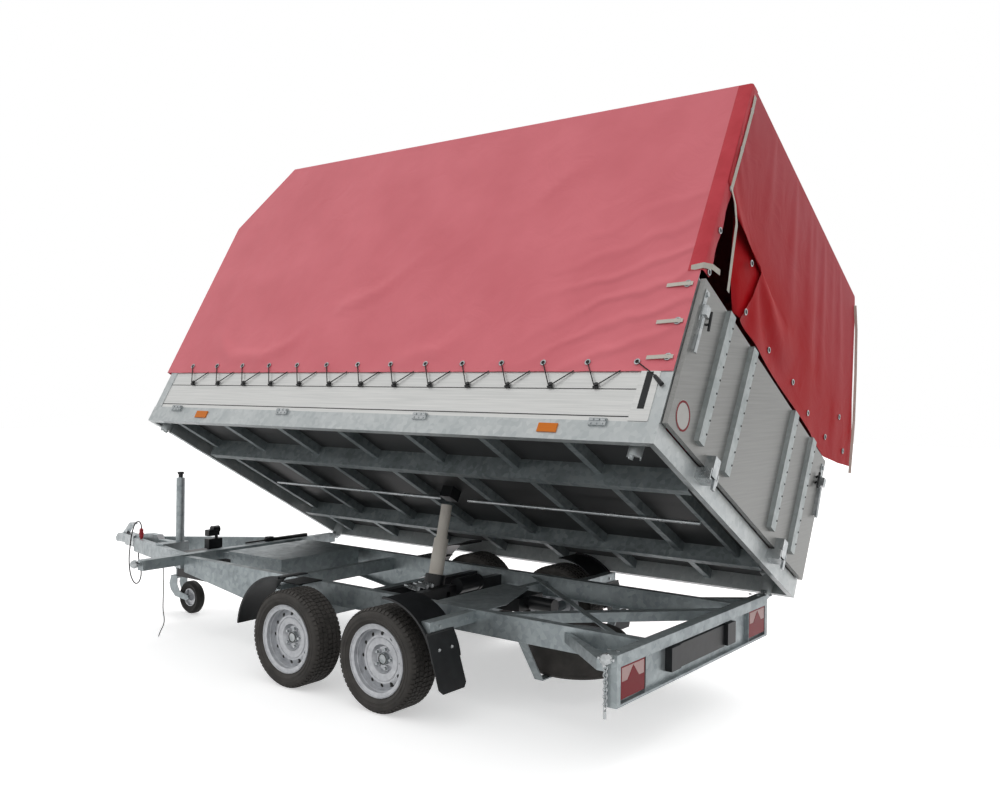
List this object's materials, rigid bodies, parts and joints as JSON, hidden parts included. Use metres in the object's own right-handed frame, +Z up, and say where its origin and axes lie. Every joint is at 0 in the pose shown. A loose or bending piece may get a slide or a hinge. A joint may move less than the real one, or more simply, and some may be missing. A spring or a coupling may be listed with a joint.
{
  "type": "dump trailer",
  "caption": "Tandem-axle three-way tipping trailer with a covered bed tipped to its side, a V drawbar, a ball coupling and a jockey wheel.",
  "frame": {"origin": "centre of the tow ball's socket in the coupling head", "axes": "+X forward, from the bed to the coupling; +Y to the trailer's left; +Z up"},
  "size_m": [5.192, 2.827, 3.163],
  "materials": {
    "amber_lens": "moulded",
    "black_plastic": "grained",
    "black_steel": "satin",
    "board": "anodised, satin",
    "cast_steel": "zinc plated",
    "galvanised": "hot-dip galvanised, mottled",
    "light_profile": "anodised",
    "plywood": "film-faced plywood, nearly black",
    "ram_paint": "satin",
    "red_lens": "moulded",
    "red_plastic": "moulded",
    "rubber": "matt",
    "tarpaulin": "coated cloth",
    "tyre": "matt",
    "wheel_paint": "silver paint"
  },
  "bodies": {
    "chassis": {"main_rails": "galvanised", "front_crossbeam": "galvanised", "rear_crossbeam": "galvanised", "rear_valance": "galvanised", "tail_lamps": "red_lens", "plate_holder": "black_plastic", "drawbar_arms": "galvanised", "overrun_device": "galvanised", "coupling_head": "cast_steel", "jockey_tube": "galvanised", "axles": "galvanised", "mudguards": "black_plastic", "crossmembers": "galvanised", "ram_cradle": "black_steel", "frame_braces": "galvanised", "toolbox": "galvanised", "spare_tyre": "tyre", "spare_rim": "wheel_paint", "hydraulic_unit": "black_steel", "pump_lever": "black_steel", "plug_rest": "black_plastic", "cable_plug": "red_plastic", "plug_cable": "rubber", "lanyard": "rubber", "safety_chain": "cast_steel", "battery_box": "black_plastic", "tipping_balls": "cast_steel"},
    "bed": {"bed_edge": "light_profile", "bed_floor": "plywood", "bed_longitudinals": "galvanised", "bed_crossmembers": "galvanised", "bed_sockets": "light_profile", "corner_posts": "light_profile", "wall_boards": "board", "ram_seat": "black_steel", "bed_hardware": "cast_steel", "side_reflectors": "amber_lens", "cover": "tarpaulin", "rear_curtain": "tarpaulin", "cover_bows": "light_profile", "gate_eyes": "cast_steel"},
    "gate": {"gate_panel": "board", "gate_stiffeners": "light_profile", "gate_leaves": "cast_steel", "gate_latches": "cast_steel"},
    "ram_barrel": {"ram_base": "black_steel"},
    "ram_tube": {"ram_stage_1": "ram_paint"},
    "ram_rod": {"ram_stage_2": "ram_paint"},
    "jockey_stem": {"jockey_leg": "galvanised"},
    "jockey_swivel": {"jockey_fork": "galvanised"},
    "jockey_roller": {"jockey_wheel": "rubber", "jockey_rim": "wheel_paint"},
    "wheel_front_left": {"tyre_front_left": "tyre", "rim_front_left": "wheel_paint"},
    "wheel_front_right": {"tyre_front_right": "tyre", "rim_front_right": "wheel_paint"},
    "wheel_rear_left": {"tyre_rear_left": "tyre", "rim_rear_left": "wheel_paint"},
    "wheel_rear_right": {"tyre_rear_right": "tyre", "rim_rear_right": "wheel_paint"}
  },
  "joints": [
    {"name": "bed_tip", "type": "hinge", "parent": "chassis", "child": "bed", "pos_m": [-3.185, -0.863, 0.077], "axis": [1, 0, 0], "range_deg": [-28.77, 16.2]},
    {"name": "gate_drop", "type": "hinge", "parent": "bed", "child": "gate", "pos_m": [-5.092, -0.15899, 0.5879], "axis": [0, -0.8766, -0.4813], "range_deg": [0, 110]},
    {"name": "ram_tilt", "type": "hinge", "parent": "chassis", "child": "ram_barrel", "pos_m": [-3.2, 0, 0], "axis": [1, 0, 0], "range_deg": [-14.5, 8]},
    {"name": "ram_lift_1", "type": "slide", "parent": "ram_barrel", "child": "ram_tube", "axis": [0, -0.2275, 0.9738], "range_m": [-0.2135, 0.121]},
    {"name": "ram_lift_2", "type": "slide", "parent": "ram_tube", "child": "ram_rod", "axis": [0, -0.2275, 0.9738], "range_m": [-0.2135, 0.121]},
    {"name": "jockey_wind", "type": "slide", "parent": "chassis", "child": "jockey_stem", "axis": [0, 0, 1], "range_m": [-0.16, 0.04]},
    {"name": "jockey_turn", "type": "hinge", "parent": "jockey_stem", "child": "jockey_swivel", "pos_m": [-0.88, 0.118, -0.22], "axis": [0, 0, 1], "continuous": true},
    {"name": "jockey_roll", "type": "hinge", "parent": "jockey_swivel", "child": "jockey_roller", "pos_m": [-1.03, 0.118, -0.305], "axis": [0, 1, 0], "continuous": true},
    {"name": "wheel_front_left_spin", "type": "hinge", "parent": "chassis", "child": "wheel_front_left", "pos_m": [-2.914, 0.7955, -0.1575], "axis": [0, 1, 0], "continuous": true},
    {"name": "wheel_front_right_spin", "type": "hinge", "parent": "chassis", "child": "wheel_front_right", "pos_m": [-2.914, -0.7955, -0.1575], "axis": [0, 1, 0], "continuous": true},
    {"name": "wheel_rear_left_spin", "type": "hinge", "parent": "chassis", "child": "wheel_rear_left", "pos_m": [-3.589, 0.7955, -0.1575], "axis": [0, 1, 0], "continuous": true},
    {"name": "wheel_rear_right_spin", "type": "hinge", "parent": "chassis", "child": "wheel_rear_right", "pos_m": [-3.589, -0.7955, -0.1575], "axis": [0, 1, 0], "continuous": true}
  ],
  "couplings": [
    {"joint": "ram_tilt", "follows": "bed_tip", "ratio": 0.457},
    {"joint": "ram_lift_1", "follows": "bed_tip", "m_per_rad": 0.4245},
    {"joint": "ram_lift_2", "follows": "bed_tip", "m_per_rad": 0.4245}
  ]
}
